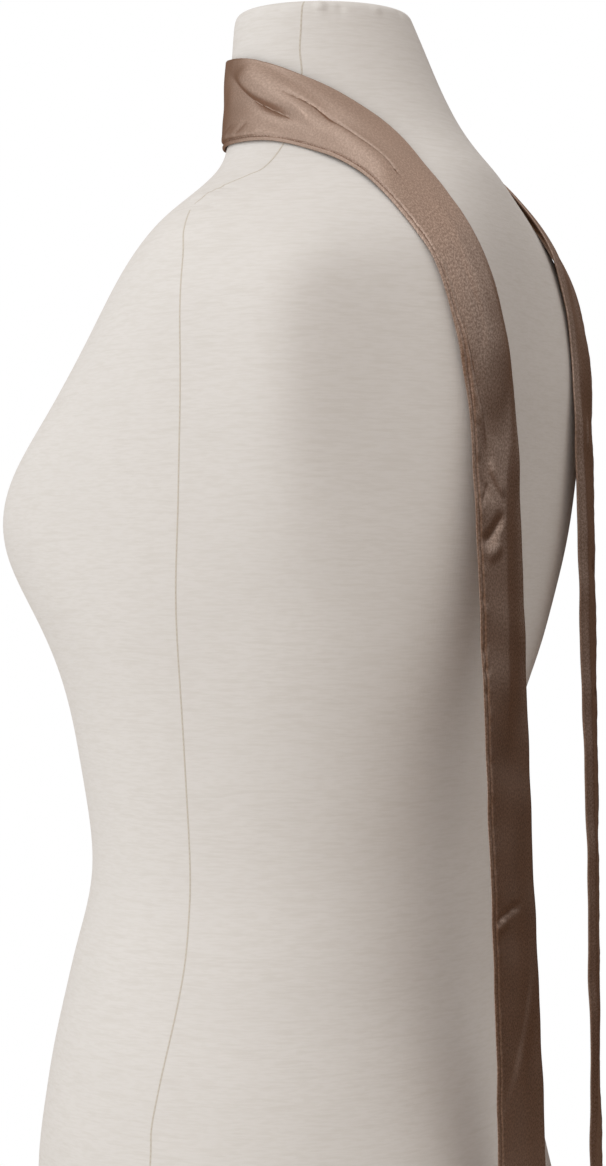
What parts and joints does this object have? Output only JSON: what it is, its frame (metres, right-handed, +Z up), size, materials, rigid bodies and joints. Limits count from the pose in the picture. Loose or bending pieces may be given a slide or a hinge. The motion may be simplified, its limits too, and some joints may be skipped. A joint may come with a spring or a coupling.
{
  "type": "satin skinny scarf on a limbless dress form",
  "caption": "Narrow satin scarf laid across the throat of a limbless dress form, over both shoulders and down the back.",
  "frame": {"origin": "middle of the dress form's flat base, on the surface it stands on", "axes": "+Z up along the form, -Y towards the front that the form faces, +X towards the form's left side"},
  "size_m": [0.3398, 0.3076, 0.7356],
  "materials": {
    "linen": "matte undyed linen cover",
    "satin": "brown satin with a soft sheen"
  },
  "bodies": {
    "root": {"form_torso": "linen", "scarf_throat": "satin", "scarf_left_shoulder": "satin", "scarf_left_tail": "satin", "scarf_right_shoulder": "satin", "scarf_right_tail": "satin"}
  },
  "joints": []
}
